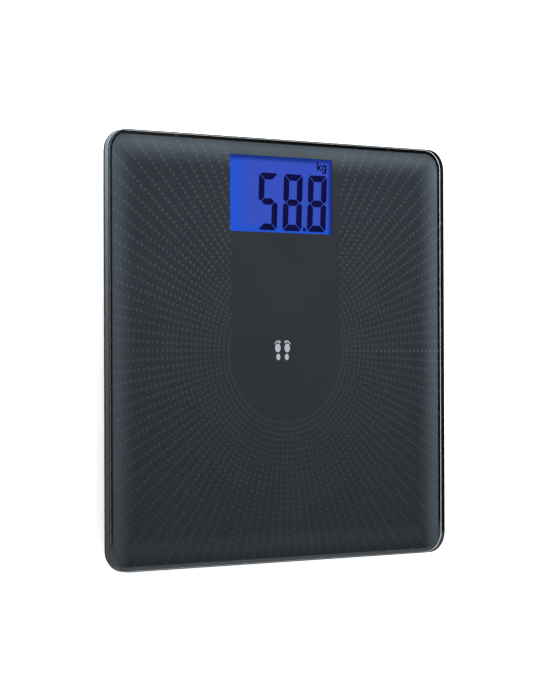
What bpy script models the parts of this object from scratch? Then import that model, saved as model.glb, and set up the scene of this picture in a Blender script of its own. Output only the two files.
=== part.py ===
"""Digital bathroom scale.

A square platform of tempered glass stands on four feet. Each foot hangs from a load cell in a pod
glued under its corner. A box under the glass, behind a window in the print, holds the display, the
circuit board, the unit button and two cells.

Sizes below are in millimetres, and every mesh is turned to metres when it is made. +Z is up, +Y
points to the display, and the origin is on the floor under the platform's centre. The display is at
the toe end of the platform, so corners are named toe or heel, left or right.
"""

import math

import bmesh
import bpy
from mathutils import Matrix, Vector

MM = 0.001
GAP = 0.3  # left between pieces that touch

# Platform
SIDE = 300.0
CORNER_RADIUS = 15.0
HEIGHT = 26.0
GLASS = 8.0
ARRIS = 1.0
GLASS_Z = HEIGHT - GLASS
FILM = 0.3
FILM_INSET = 1.2
FILM_Z = GLASS_Z - GAP - FILM
TAPE = 0.8
TAPE_Z = FILM_Z - GAP - TAPE
UNDER_Z = TAPE_Z - GAP  # top of everything that is glued on with tape

# Display window in the print
WINDOW = (92.0, 54.0)
WINDOW_Y = 111.0

# Feet
FOOT_OFFSET = 117.0  # of each foot from the centre, along X and along Y
POD_RADIUS = 24.0
POD_Z = 5.0
POD_MOUTH = 20.5
TURN_STEPS = 24
SEAT_RADIUS = 15.0  # outside it the load cell bears on the pod
SEAT_Z = 13.5
POD_CEILING_Z = 14.6
CELL_SIDE = 31.0
CELL_RADIUS = 7.0
CELL_T = 2.5
CELL_TOP = SEAT_Z - GAP
CELL_HOLE = 2.5
FOOT_TRAVEL = 0.5
FOOT_RADIUS = 18.0
PAD_RADIUS = 15.2
PAD_T = 2.1
FOOT_RIM_Z = 1.6

# Electronics housing, as half widths along X and low and high Y
FLOOR_Z = 2.9
FLOOR_T = 1.6
FLOOR_TOP = FLOOR_Z + FLOOR_T
WALL = 1.6
FLANGE_X = 64.0
FLANGE_Y = (33.0, 147.0)
FLANGE_T = 1.4
BOX_X = 59.6
BOX_Y = (37.4, 143.4)
BOX_RADIUS = 9.0
BOARD_X = 57.4
BOARD_Y = (72.5, 141.3)
BOARD_Z = 9.0
BOARD_T = 1.6
BOARD_RADIUS = 8.0
CHIP_Y = 100.0
BOSS_X = 53.0
BOSS_Y = (84.0, 134.0)
BOSS_RADIUS = 3.2
SCREW_HOLE = 1.5
LEAD_HOLE = 1.3

# Display stack
HOLDER_X = 49.7
HOLDER_Y = (78.8, 141.2)
POCKET_X = 48.5
POCKET_Y = (80.0, 140.0)
HOLDER_Z = BOARD_Z + BOARD_T + GAP
HOLDER_FLOOR = 1.3
CELL_GLASS_X = 48.0
CELL_GLASS_Y = (80.5, 139.5)
CELL_GLASS_Z = 14.3
CELL_GLASS_T = 2.6
GUIDE_Z = HOLDER_Z + HOLDER_FLOOR + GAP
GUIDE_T = 1.5
ZEBRA_Y = (81.0, 83.0)
ZEBRA_X = 44.0
LED_BOARD_X = (48.2, 46.8)
LED_BOARD_HALF = 24.0

# Battery bay
BAY_X = 26.0
BAY_Y = (44.5, 69.5)
BAY_WALL = 1.2
BAY_CEILING_Z = 15.2
COLLAR = 3.4
COLLAR_TOP = 6.0
DOOR_MARGIN = 1.6  # of the door past the bay, all round
DOOR_T = 1.2
DOOR_CLEARANCE = 0.4
HOOK_X = 18.0  # of each hook that the door turns on
HOOK_HALF = 2.5
LATCH_HALF = 6.0
LATCH_T = 0.8
AAA_RADIUS = 5.25
AAA_LENGTH = 44.5
AAA_Z = 9.65
AAA_PITCH = 12.0
AAA_NUB = (1.9, 1.0)  # radius and height of the plus end
CONTACT_T = 0.4

# Unit button, under the board
BUTTON = (42.0, 92.0)
BUTTON_RADIUS = 4.1
BUTTON_COLLAR = (5.4, 0.8)  # radius and thickness of the flange that keeps it in
BUTTON_STEM = 1.5
SWITCH_HALF = 3.0
SWITCH_Z = 7.2
PLUNGER_RADIUS = 1.6

# Leads
LEAD_RADIUS = 0.8
LEAD_EXIT_Z = 14.7
LEAD_RUN_Z = 16.3
LEAD_WALL_Z = 13.4
HEEL_ENTRY_X = 38.0
TOE_ENTRY_Y = 104.0
BOARD_END_Z = 11.8

# Corners of a heel lead's run under the print, for the right-hand side
HEEL_RUN_LOW = (80.0, -52.0)
HEEL_RUN_HIGH = (58.0, -14.0)
CLIP_START = (98.0, -84.1)
CLIP_LOW_Z = 14.4

# Corner name: sign of X, sign of Y, and the way its lead leaves, in degrees from +X
CORNERS = {
    "toe_left": (-1, 1, 0.0),
    "toe_right": (1, 1, 180.0),
    "heel_left": (-1, -1, 60.0),
    "heel_right": (1, -1, 120.0),
}


def clear_scene():
    for obj in list(bpy.data.objects):
        bpy.data.objects.remove(obj)


def finish_of(name, colour, roughness, metallic=0.0):
    """A Principled material of one colour."""
    material = bpy.data.materials.new(name)
    material.use_nodes = True
    shader = material.node_tree.nodes["Principled BSDF"]
    shader.inputs["Base Color"].default_value = (*colour, 1.0)
    shader.inputs["Roughness"].default_value = roughness
    shader.inputs["Metallic"].default_value = metallic
    return material


def make_finishes():
    """Every finish of the scale, by name."""
    return {
        "glass": finish_of("tempered_glass", (0.62, 0.70, 0.70), 0.05),
        "print": finish_of("dark_print", (0.040, 0.052, 0.060), 0.35),
        "shell": finish_of("black_abs", (0.022, 0.023, 0.025), 0.45),
        "white": finish_of("white_abs", (0.80, 0.80, 0.78), 0.40),
        "foam": finish_of("white_foam_tape", (0.70, 0.70, 0.68), 0.90),
        "steel": finish_of("stamped_steel", (0.56, 0.57, 0.58), 0.35, 1.0),
        "nickel": finish_of("nickel_plated_steel", (0.66, 0.65, 0.62), 0.25, 1.0),
        "silicone": finish_of("white_silicone", (0.78, 0.78, 0.76), 0.60),
        "rubber": finish_of("grey_rubber", (0.12, 0.12, 0.125), 0.85),
        "screen": finish_of("blue_display", (0.05, 0.11, 0.62), 0.15),
        "acrylic": finish_of("clear_acrylic", (0.75, 0.80, 0.90), 0.10),
        "board": finish_of("green_circuit_board", (0.02, 0.16, 0.06), 0.40),
        "epoxy": finish_of("black_epoxy", (0.012, 0.012, 0.013), 0.25),
        "zebra": finish_of("pink_elastomer", (0.62, 0.30, 0.32), 0.70),
        "cell": finish_of("battery_sleeve", (0.10, 0.17, 0.33), 0.30),
        "lead": finish_of("lead_sheath", (0.45, 0.45, 0.45), 0.55),
    }


def to_object(name, bm, finish, at=(0.0, 0.0, 0.0), parent=None, smooth=False):
    """Makes a bmesh drawn in millimetres into a named object in metres, at a place in millimetres."""
    bmesh.ops.recalc_face_normals(bm, faces=bm.faces)
    bmesh.ops.scale(bm, vec=(MM, MM, MM), verts=bm.verts)
    mesh = bpy.data.meshes.new(name)
    bm.to_mesh(mesh)
    bm.free()
    if finish is not None:
        mesh.materials.append(finish)
    if smooth:
        mesh.shade_smooth()
        mesh.set_sharp_from_angle(angle=math.radians(35))
    obj = bpy.data.objects.new(name, mesh)
    bpy.context.collection.objects.link(obj)
    obj.location = Vector(at) * MM
    obj.parent = parent
    return obj


def pivot(name, at, turn=0.0):
    """An empty on a joint's axis or at a pod's centre, turned about Z by degrees."""
    empty = bpy.data.objects.new(name, None)
    bpy.context.collection.objects.link(empty)
    empty.location = Vector(at) * MM
    empty.rotation_euler = (0.0, 0.0, math.radians(turn))
    return empty


def rounded_outline(low, high, radius, steps=4):
    """Corners of a rounded rectangle from its low and high (x, y)."""
    outline = []
    centres = (
        (high[0] - radius, high[1] - radius),
        (low[0] + radius, high[1] - radius),
        (low[0] + radius, low[1] + radius),
        (high[0] - radius, low[1] + radius),
    )
    for quarter, (x, y) in enumerate(centres):
        for step in range(steps + 1):
            angle = math.radians(90.0 * (quarter + step / steps))
            outline.append((x + radius * math.cos(angle), y + radius * math.sin(angle)))
    return outline


def box_outline(low, high):
    return [(low[0], low[1]), (high[0], low[1]), (high[0], high[1]), (low[0], high[1])]


def prism(outline, low_z, high_z):
    """A bmesh of an outline pulled up from one height to another."""
    bm = bmesh.new()
    face = bm.faces.new([bm.verts.new((x, y, low_z)) for x, y in outline])
    pulled = bmesh.ops.extrude_face_region(bm, geom=[face])["geom"]
    top = [item for item in pulled if isinstance(item, bmesh.types.BMVert)]
    bmesh.ops.translate(bm, vec=(0.0, 0.0, high_z - low_z), verts=top)
    return bm


def rounded_slab(half_x, span_y, radius, low_z, high_z, steps=4):
    """A prism on a rounded rectangle centred on X = 0."""
    outline = rounded_outline((-half_x, span_y[0]), (half_x, span_y[1]), radius, steps)
    return prism(outline, low_z, high_z)


def soften_rim(bm, height, width, segments=1):
    """Bevels the edges that lie at one height."""
    rim = [e for e in bm.edges if all(abs(v.co.z - height) < 1e-4 for v in e.verts)]
    bmesh.ops.bevel(
        bm, geom=rim, offset=width, offset_type="OFFSET", segments=segments,
        profile=0.5, affect="EDGES", clamp_overlap=True, material=-1,
    )


def turned(profile, steps=TURN_STEPS):
    """A bmesh of a closed (radius, height) profile turned about Z."""
    bm = bmesh.new()
    verts = [bm.verts.new((radius, 0.0, height)) for radius, height in profile]
    edges = [bm.edges.new((verts[i - 1], verts[i])) for i in range(1, len(verts))]
    if profile[0][0] > 0.0:
        edges.append(bm.edges.new((verts[-1], verts[0])))
    bmesh.ops.spin(
        bm, geom=verts + edges, cent=(0, 0, 0), axis=(0, 0, 1),
        angle=math.tau, steps=steps, use_merge=True,
    )
    bmesh.ops.remove_doubles(bm, verts=bm.verts, dist=1e-4)
    return bm


def rod(radius, low_z, high_z, steps=16):
    return turned([(0.0, low_z), (radius, low_z), (radius, high_z), (0.0, high_z)], steps)


def combine(target, tool, operation):
    """Unites the target with a hidden tool object, or cuts it."""
    tool.hide_render = True
    tool.display_type = "WIRE"
    modifier = target.modifiers.new(tool.name, "BOOLEAN")
    modifier.operation = operation
    modifier.solver = "EXACT"
    modifier.object = tool


def cut(target, name, bm, at=(0.0, 0.0, 0.0)):
    combine(target, to_object(name, bm, None, at, target.parent), "DIFFERENCE")


def unite(target, name, bm, at=(0.0, 0.0, 0.0)):
    combine(target, to_object(name, bm, None, at, target.parent), "UNION")


def turn_to_x(bm):
    """Lays a piece drawn along Z along X."""
    bmesh.ops.rotate(bm, cent=(0, 0, 0), matrix=Matrix.Rotation(math.pi / 2, 3, "Y"), verts=bm.verts)
    return bm


def turn_to_y(bm):
    """Lays a piece drawn along Z along Y."""
    bmesh.ops.rotate(bm, cent=(0, 0, 0), matrix=Matrix.Rotation(-math.pi / 2, 3, "X"), verts=bm.verts)
    return bm


def make_platform(finishes):
    half = SIDE / 2
    glass = rounded_slab(half, (-half, half), CORNER_RADIUS, GLASS_Z, HEIGHT, steps=8)
    soften_rim(glass, HEIGHT, ARRIS, segments=3)
    soften_rim(glass, GLASS_Z, ARRIS, segments=3)
    to_object("platform_glass", glass, finishes["glass"], smooth=True)

    edge = half - FILM_INSET
    radius = CORNER_RADIUS - FILM_INSET
    film_mesh = rounded_slab(edge, (-edge, edge), radius, FILM_Z, FILM_Z + FILM, steps=6)
    film = to_object("print_film", film_mesh, finishes["print"])
    window_y = (WINDOW_Y - WINDOW[1] / 2, WINDOW_Y + WINDOW[1] / 2)
    window = rounded_slab(WINDOW[0] / 2, window_y, 0.8, FILM_Z - 1, GLASS_Z + 1, steps=2)
    cut(film, "window_cutter", window)


def make_housing(finishes):
    """The moulded box: tray, flange, bosses and battery bay in one piece."""
    box = rounded_slab(BOX_X, BOX_Y, BOX_RADIUS, FLOOR_Z, UNDER_Z)
    soften_rim(box, FLOOR_Z, 1.4, segments=2)
    housing = to_object("housing", box, finishes["shell"])
    flange_z = UNDER_Z - FLANGE_T
    flange = rounded_slab(FLANGE_X, FLANGE_Y, BOX_RADIUS + 4, flange_z, UNDER_Z)
    unite(housing, "housing_flange", flange)
    inner_y = (BOX_Y[0] + WALL, BOX_Y[1] - WALL)
    inner = rounded_slab(BOX_X - WALL, inner_y, BOX_RADIUS - WALL, FLOOR_TOP, UNDER_Z + 1)
    cut(housing, "housing_inside", inner)
    add_bay(housing)
    for side in (-1, 1):
        for y in BOSS_Y:
            place = (side * BOSS_X, y, 0.0)
            label = f"{'left' if side < 0 else 'right'}_{y:.0f}"
            unite(housing, f"boss_{label}", rod(BOSS_RADIUS, FLOOR_Z + 1, BOARD_Z - GAP), place)
            cut(housing, f"boss_hole_{label}", rod(SCREW_HOLE, FLOOR_TOP + 0.8, BOARD_Z), place)
        heel_hole = turn_to_y(rod(LEAD_HOLE, BOX_Y[0] - 1, BOX_Y[0] + WALL + 1))
        cut(housing, f"heel_lead_hole_{side}", heel_hole, (side * HEEL_ENTRY_X, 0.0, LEAD_WALL_Z))
        toe_hole = turn_to_x(rod(LEAD_HOLE, -WALL - 1, WALL + 1))
        toe_place = (side * (BOX_X - WALL / 2), TOE_ENTRY_Y, LEAD_WALL_Z)
        cut(housing, f"toe_lead_hole_{side}", toe_hole, toe_place)
    button_hole = rod(BUTTON_RADIUS + GAP, FLOOR_Z - 1, FLOOR_TOP + 1)
    cut(housing, "button_hole", button_hole, (*BUTTON, 0.0))

    tape_y = (FLANGE_Y[0] + 1, FLANGE_Y[1] - 1)
    rim = rounded_slab(FLANGE_X - 1, tape_y, BOX_RADIUS + 3, TAPE_Z, TAPE_Z + TAPE)
    tape = to_object("housing_tape", rim, finishes["foam"])
    hole_y = (BOX_Y[0] + 1, BOX_Y[1] - 1)
    hole = rounded_slab(BOX_X - 1, hole_y, BOX_RADIUS - 1, TAPE_Z - 1, FILM_Z)
    cut(tape, "housing_tape_inside", hole)


def bay_slab(margin, low_z, high_z):
    """A prism on the bay's rectangle, grown by a margin."""
    low = (-BAY_X - margin, BAY_Y[0] - margin)
    high = (BAY_X + margin, BAY_Y[1] + margin)
    return prism(box_outline(low, high), low_z, high_z)


def add_bay(housing):
    """A box moulded into the housing's floor, open downwards, with a ledge that the door meets."""
    middle = (FLOOR_Z + FLOOR_TOP) / 2
    unite(housing, "bay_collar", bay_slab(COLLAR, middle, COLLAR_TOP))
    unite(housing, "bay_box", bay_slab(BAY_WALL, middle, UNDER_Z))
    cut(housing, "bay_inside", bay_slab(0.0, FLOOR_Z - 1, BAY_CEILING_Z))
    recess = bay_slab(DOOR_MARGIN + DOOR_CLEARANCE, FLOOR_Z - 1, FLOOR_Z + DOOR_T + GAP)
    cut(housing, "door_recess", recess)
    ledge_z = FLOOR_Z + DOOR_T
    for side in (-1, 1):
        low = (side * HOOK_X - HOOK_HALF - 1, BAY_Y[0] - COLLAR - 1)
        high = (side * HOOK_X + HOOK_HALF + 1, BAY_Y[0] + 1)
        cut(housing, f"hook_pocket_{side}", prism(box_outline(low, high), ledge_z, COLLAR_TOP + 0.5))
    latch_x = LATCH_HALF + 2
    latch = box_outline((-latch_x, BAY_Y[1] - 1), (latch_x, BAY_Y[1] + COLLAR + 1))
    cut(housing, "latch_pocket", prism(latch, ledge_z, COLLAR_TOP + 1.5))
    scoop_y = BAY_Y[1] + DOOR_MARGIN
    scoop = box_outline((-latch_x, scoop_y), (latch_x, scoop_y + 5))
    cut(housing, "thumb_scoop", prism(scoop, FLOOR_Z - 1, FLOOR_Z + 0.7))


def make_door(finishes):
    """The battery door. Its origin is on the hinge line, the outer edge of its heel side."""
    hinge_y = BAY_Y[0] - DOOR_MARGIN
    half_x = BAY_X + DOOR_MARGIN
    depth = BAY_Y[1] - BAY_Y[0] + 2 * DOOR_MARGIN
    hinge = pivot("battery_door_hinge", (0.0, hinge_y, FLOOR_Z))
    plate = rounded_slab(half_x, (0.0, depth), 2.0, 0.0, DOOR_T, steps=3)
    door = to_object("battery_door", plate, finishes["shell"], parent=hinge)
    hook_low = FLOOR_T + GAP
    hook_high = hook_low + 0.7
    for side in (-1, 1):
        low_x = side * HOOK_X - HOOK_HALF
        high_x = side * HOOK_X + HOOK_HALF
        stem = prism(box_outline((low_x, 0.3), (high_x, 1.1)), DOOR_T / 2, hook_high)
        unite(door, f"hook_stem_{side}", stem)
        tongue = prism(box_outline((low_x, -1.7), (high_x, 0.7)), hook_low, hook_high)
        unite(door, f"hook_tongue_{side}", tongue)
    latch_y = depth - GAP
    latch = box_outline((-LATCH_HALF, latch_y - LATCH_T), (LATCH_HALF, latch_y))
    unite(door, "latch_tongue", prism(latch, DOOR_T / 2, 4.0))
    rib_half = LATCH_HALF + 1
    rib_pitch = 1.6
    for rib in range(3):
        y = depth - 4.0 - rib_pitch * rib
        grip = prism(box_outline((-rib_half, y), (rib_half, y + 0.7)), -0.3, DOOR_T / 2)
        unite(door, f"grip_rib_{rib}", grip)


def make_display(finishes):
    floor_top = HOLDER_Z + HOLDER_FLOOR
    walls = rounded_slab(HOLDER_X, HOLDER_Y, 1.5, HOLDER_Z, UNDER_Z, steps=2)
    holder = to_object("lcd_holder", walls, finishes["white"])
    pocket = rounded_slab(POCKET_X, POCKET_Y, 0.8, floor_top, UNDER_Z + 1, steps=2)
    cut(holder, "holder_pocket", pocket)
    slot_low = (-ZEBRA_X - 0.5, ZEBRA_Y[0] - 0.5)
    slot_high = (ZEBRA_X + 0.5, ZEBRA_Y[1] + 0.5)
    slot = prism(box_outline(slot_low, slot_high), HOLDER_Z - 1, floor_top + 1)
    cut(holder, "zebra_slot", slot)

    strip = box_outline((-ZEBRA_X, ZEBRA_Y[0]), (ZEBRA_X, ZEBRA_Y[1]))
    to_object("zebra_strip", prism(strip, HOLDER_Z, CELL_GLASS_Z - GAP), finishes["zebra"])

    high_z = CELL_GLASS_Z + CELL_GLASS_T
    panel = rounded_slab(CELL_GLASS_X, CELL_GLASS_Y, 0.4, CELL_GLASS_Z, high_z, steps=1)
    to_object("lcd_panel", panel, finishes["screen"])

    guide_low = (-LED_BOARD_X[1] + 0.4, ZEBRA_Y[1] + 0.8)
    guide_high = (POCKET_X - 0.6, POCKET_Y[1] - 0.6)
    guide = prism(box_outline(guide_low, guide_high), GUIDE_Z, GUIDE_Z + GUIDE_T)
    to_object("backlight_guide", guide, finishes["acrylic"])
    board_low = (-LED_BOARD_X[0], WINDOW_Y - LED_BOARD_HALF)
    board_high = (-LED_BOARD_X[1], WINDOW_Y + LED_BOARD_HALF)
    board = prism(box_outline(board_low, board_high), GUIDE_Z, GUIDE_Z + GUIDE_T)
    to_object("backlight_led_board", board, finishes["white"])


def make_board(finishes):
    slab = rounded_slab(BOARD_X, BOARD_Y, BOARD_RADIUS, BOARD_Z, BOARD_Z + BOARD_T, steps=3)
    board = to_object("circuit_board", slab, finishes["board"])
    number = 1
    for side in (-1, 1):
        for y in BOSS_Y:
            place = (side * BOSS_X, y, 0.0)
            hole = rod(SCREW_HOLE + 0.1, BOARD_Z - 1, BOARD_Z + BOARD_T + 1)
            cut(board, f"board_hole_{number}", hole, place)
            make_screw(f"board_screw_{number}", finishes["nickel"], place)
            number += 1
    top = BOARD_Z - GAP
    dome = [(0.0, top), (8.0, top), (7.4, top - 0.4), (5.0, top - 0.9), (0.0, top - 1.1)]
    place = (0.0, CHIP_Y, 0.0)
    to_object("controller_chip", turned(dome, 20), finishes["epoxy"], place, smooth=True)


def make_screw(name, finish, place):
    """A pan-head screw from above the board into its boss."""
    head = BOARD_Z + BOARD_T + GAP
    profile = [
        (0.0, head + 1.4), (1.5, head + 1.4), (2.2, head + 1.0), (2.4, head),
        (1.2, head), (1.2, 6.2), (0.6, 5.6), (0.0, 5.6),
    ]
    to_object(name, turned(profile, 16), finish, place, smooth=True)


def make_button(finishes):
    """The button and the switch above it. Both moving pieces have their origin on its axis."""
    axis = pivot("unit_button_axis", (*BUTTON, 0.0))
    low = FLOOR_Z + GAP
    collar_radius, collar_t = BUTTON_COLLAR
    collar = FLOOR_TOP + GAP
    collar_top = collar + collar_t
    top = SWITCH_Z - 1.2
    cap = [
        (0.0, low), (BUTTON_RADIUS - 0.4, low), (BUTTON_RADIUS, low + 0.4),
        (BUTTON_RADIUS, collar), (collar_radius, collar), (collar_radius, collar_top),
        (BUTTON_STEM, collar_top), (BUTTON_STEM, top), (0.0, top),
    ]
    to_object("unit_button", turned(cap, 20), finishes["shell"], parent=axis, smooth=True)
    plunger = rod(PLUNGER_RADIUS, top + GAP, SWITCH_Z + 0.2)
    to_object("switch_plunger", plunger, finishes["white"], parent=axis, smooth=True)
    square = box_outline((-SWITCH_HALF, -SWITCH_HALF), (SWITCH_HALF, SWITCH_HALF))
    block = prism(square, SWITCH_Z, BOARD_Z - GAP)
    body = to_object("switch_body", block, finishes["epoxy"], parent=axis)
    cut(body, "plunger_hole", rod(PLUNGER_RADIUS + GAP, SWITCH_Z - 1, SWITCH_Z + 0.8))


def make_cell(name, finishes, side):
    """One AAA cell along X, its plus end towards -X on the heel side and +X on the toe side."""
    nub, nub_height = AAA_NUB
    length = AAA_LENGTH - nub_height
    shoulder = AAA_RADIUS - 0.5
    profile = [
        (0.0, -nub_height), (nub, -nub_height), (nub, 0.0), (shoulder, 0.0), (AAA_RADIUS, 0.5),
        (AAA_RADIUS, length - 0.5), (shoulder, length), (0.0, length),
    ]
    bm = turn_to_x(turned(profile, 24))
    bmesh.ops.translate(bm, vec=(-BAY_X + 2 * nub_height, 0.0, 0.0), verts=bm.verts)
    if side > 0:
        half_turn = Matrix.Rotation(math.pi, 3, "Z")
        bmesh.ops.rotate(bm, cent=(0, 0, 0), matrix=half_turn, verts=bm.verts)
    to_object(name, bm, finishes["cell"], cell_place(side), smooth=True)


def cell_place(side):
    return (0.0, sum(BAY_Y) / 2 + side * AAA_PITCH / 2, AAA_Z)


def make_contacts(number, finishes, side):
    """The coil that meets a cell's minus end, and the plate at its plus end."""
    turns = 3.5
    points_a_turn = 9
    count = int(turns * points_a_turn)
    coil = bpy.data.curves.new(f"contact_spring_{number}", "CURVE")
    coil.dimensions = "3D"
    coil.bevel_depth = 0.35 * MM
    coil.bevel_resolution = 0
    coil.use_fill_caps = True
    spline = coil.splines.new("POLY")
    spline.points.add(count)
    start = BAY_X - GAP - CONTACT_T
    reach = 5.0
    for index in range(count + 1):
        share = index / count
        angle = math.tau * turns * share
        radius = 4.2 - 1.8 * share
        x = -side * (start - reach * share)
        point = Vector((x, radius * math.cos(angle), radius * math.sin(angle))) * MM
        spline.points[index].co = (*point, 1.0)
    coil.materials.append(finishes["nickel"])
    obj = bpy.data.objects.new(f"contact_spring_{number}", coil)
    bpy.context.collection.objects.link(obj)
    obj.location = Vector(cell_place(side)) * MM

    ends = sorted((side * start, side * (BAY_X - GAP)))
    plate = prism(box_outline((ends[0], -4.5), (ends[1], 4.5)), -4.0, 4.5)
    to_object(f"contact_plate_{number}", plate, finishes["nickel"], cell_place(side))


def make_pod(corner, finishes):
    """A foot pod: its empty stands under the foot's centre, turned so that +X is the lead's way out."""
    sign_x, sign_y, turn = CORNERS[corner]
    pod = pivot(f"pod_{corner}", (sign_x * FOOT_OFFSET, sign_y * FOOT_OFFSET, 0.0), turn)
    inner = POD_RADIUS - 2.0
    shell_profile = [
        (0.0, UNDER_Z), (POD_RADIUS, UNDER_Z), (POD_RADIUS, 9.0), (POD_RADIUS - 0.8, 6.2),
        (POD_RADIUS - 2.2, POD_Z), (POD_MOUTH, POD_Z), (POD_MOUTH, POD_Z + 1.2),
        (inner, POD_Z + 3.0), (inner, SEAT_Z), (SEAT_RADIUS, SEAT_Z),
        (SEAT_RADIUS, POD_CEILING_Z), (0.0, POD_CEILING_Z),
    ]
    shell_name = f"foot_shell_{corner}"
    shell = to_object(shell_name, turned(shell_profile), finishes["shell"], parent=pod, smooth=True)
    groove_half = LEAD_RADIUS + 0.9
    groove = box_outline((SEAT_RADIUS - 1, -groove_half), (POD_RADIUS + 1, groove_half))
    cut(shell, f"lead_groove_{corner}", prism(groove, SEAT_Z - 0.1, UNDER_Z + 1))

    tape_in, tape_out = POD_RADIUS - 7, POD_RADIUS - 1
    tape_top = TAPE_Z + TAPE
    ring = [(tape_in, TAPE_Z), (tape_out, TAPE_Z), (tape_out, tape_top), (tape_in, tape_top)]
    to_object(f"foot_tape_{corner}", turned(ring), finishes["foam"], parent=pod, smooth=True)
    make_load_cell(corner, finishes, pod)
    make_foot(corner, finishes, pod)


def make_load_cell(corner, finishes, pod):
    """A steel plate whose middle tongue bends; the tongue's root carries the gauge."""
    half = CELL_SIDE / 2
    plate = rounded_slab(half, (-half, half), CELL_RADIUS, CELL_TOP - CELL_T, CELL_TOP, steps=4)
    cell = to_object(f"load_cell_{corner}", plate, finishes["steel"], parent=pod)
    reach, root = 8.5, 7.3
    inner, outer = 5.5, 7.7
    slot = [
        (reach, inner), (reach, outer), (-root - 2.2, outer), (-root - 2.2, -outer),
        (reach, -outer), (reach, -inner), (-root, -inner), (-root, inner),
    ]
    low = CELL_TOP - CELL_T - 1
    cut(cell, f"tongue_slot_{corner}", prism(slot, low, CELL_TOP + 1))
    cut(cell, f"pin_hole_{corner}", rod(CELL_HOLE, low, CELL_TOP + 1))
    gauge_z = CELL_TOP + GAP
    gauge = rounded_slab(2.5, (-3.0, 3.0), 1.2, gauge_z, gauge_z + 0.4, steps=2)
    bmesh.ops.translate(gauge, vec=(reach - 0.9, 0.0, 0.0), verts=gauge.verts)
    to_object(f"strain_gauge_{corner}", gauge, finishes["silicone"], parent=pod)


def make_foot(corner, finishes, pod):
    """The foot and its rubber sole, which slide together along the pod's axis."""
    shoulder = CELL_TOP - CELL_T - GAP - FOOT_TRAVEL
    recess = PAD_RADIUS + GAP
    recess_z = PAD_T + GAP
    head = CELL_TOP + GAP
    edge = 0.6
    top = 5.4
    stud, pin = 5.0, CELL_HOLE - 0.6
    profile = [
        (0.0, recess_z), (recess, recess_z), (recess, FOOT_RIM_Z),
        (FOOT_RADIUS - edge, FOOT_RIM_Z), (FOOT_RADIUS, FOOT_RIM_Z + edge),
        (FOOT_RADIUS, top - edge), (FOOT_RADIUS - edge, top), (stud, top),
        (stud, shoulder), (pin, shoulder), (pin, head),
        (CELL_HOLE + 0.6, head), (CELL_HOLE + 0.1, head + 0.4), (0.0, head + 0.4),
    ]
    to_object(f"foot_cup_{corner}", turned(profile), finishes["shell"], parent=pod, smooth=True)
    pad = [
        (0.0, 0.0), (PAD_RADIUS - 1.0, 0.0), (PAD_RADIUS - 0.2, 0.4), (PAD_RADIUS, 1.2),
        (PAD_RADIUS, PAD_T), (0.0, PAD_T),
    ]
    to_object(f"foot_pad_{corner}", turned(pad), finishes["rubber"], parent=pod, smooth=True)


def smooth_route(points, steps):
    """Points along a Catmull-Rom curve through the given ones."""
    held = [points[0], *points, points[-1]]
    route = []
    for index in range(1, len(held) - 2):
        a, b, c, d = (Vector(point) for point in held[index - 1:index + 3])
        for step in range(steps):
            t = step / steps
            square = (2 * a - 5 * b + 4 * c - d) * t**2
            cube = (3 * b - a - 3 * c + d) * t**3
            route.append((2 * b + (c - a) * t + square + cube) / 2)
    route.append(Vector(points[-1]))
    return route


def lead_points(corner):
    """Where a corner's lead runs: out of its pod, under the film, and through the housing's wall."""
    sign_x, sign_y, turn = CORNERS[corner]
    foot = Vector((sign_x * FOOT_OFFSET, sign_y * FOOT_OFFSET))
    way = Vector((math.cos(math.radians(turn)), math.sin(math.radians(turn))))
    start = foot + way * (SEAT_RADIUS + 0.4)
    mouth = foot + way * (POD_RADIUS + 0.6)
    if sign_y > 0:
        rest = [
            (sign_x * 83.0, TOE_ENTRY_Y + 12.0, 15.7),
            (sign_x * 74.0, TOE_ENTRY_Y + 4.0, 15.2),
            (sign_x * 66.0, TOE_ENTRY_Y + 0.3, LEAD_WALL_Z),
            (sign_x * BOX_X, TOE_ENTRY_Y, LEAD_WALL_Z),
            (sign_x * 55.5, TOE_ENTRY_Y, 12.9),
            (sign_x * 52.6, TOE_ENTRY_Y, BOARD_END_Z),
        ]
    else:
        run = foot + way * (POD_RADIUS + 14.0)
        rest = [
            (run.x, run.y, LEAD_RUN_Z),
            (sign_x * HEEL_RUN_LOW[0], HEEL_RUN_LOW[1], LEAD_RUN_Z),
            (sign_x * HEEL_RUN_HIGH[0], HEEL_RUN_HIGH[1], LEAD_RUN_Z),
            (sign_x * 41.5, 13.0, LEAD_RUN_Z),
            (sign_x * HEEL_ENTRY_X, 23.5, 15.0),
            (sign_x * HEEL_ENTRY_X, 31.0, LEAD_WALL_Z),
            (sign_x * HEEL_ENTRY_X, BOX_Y[0] + 2, LEAD_WALL_Z),
            (sign_x * HEEL_ENTRY_X, 58.0, 12.8),
            (sign_x * HEEL_ENTRY_X, 76.8, BOARD_END_Z),
        ]
    return [(start.x, start.y, LEAD_EXIT_Z), (mouth.x, mouth.y, LEAD_EXIT_Z), *rest]


def make_lead(corner, finishes):
    name = f"sensor_lead_{corner}"
    lead = bpy.data.curves.new(name, "CURVE")
    lead.dimensions = "3D"
    lead.bevel_depth = LEAD_RADIUS * MM
    lead.bevel_resolution = 2
    lead.use_fill_caps = True
    route = smooth_route(lead_points(corner), 3)
    spline = lead.splines.new("POLY")
    spline.points.add(len(route) - 1)
    for index, point in enumerate(route):
        spline.points[index].co = (*(point * MM), 1.0)
    lead.materials.append(finishes["lead"])
    bpy.context.collection.objects.link(bpy.data.objects.new(name, lead))


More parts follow.
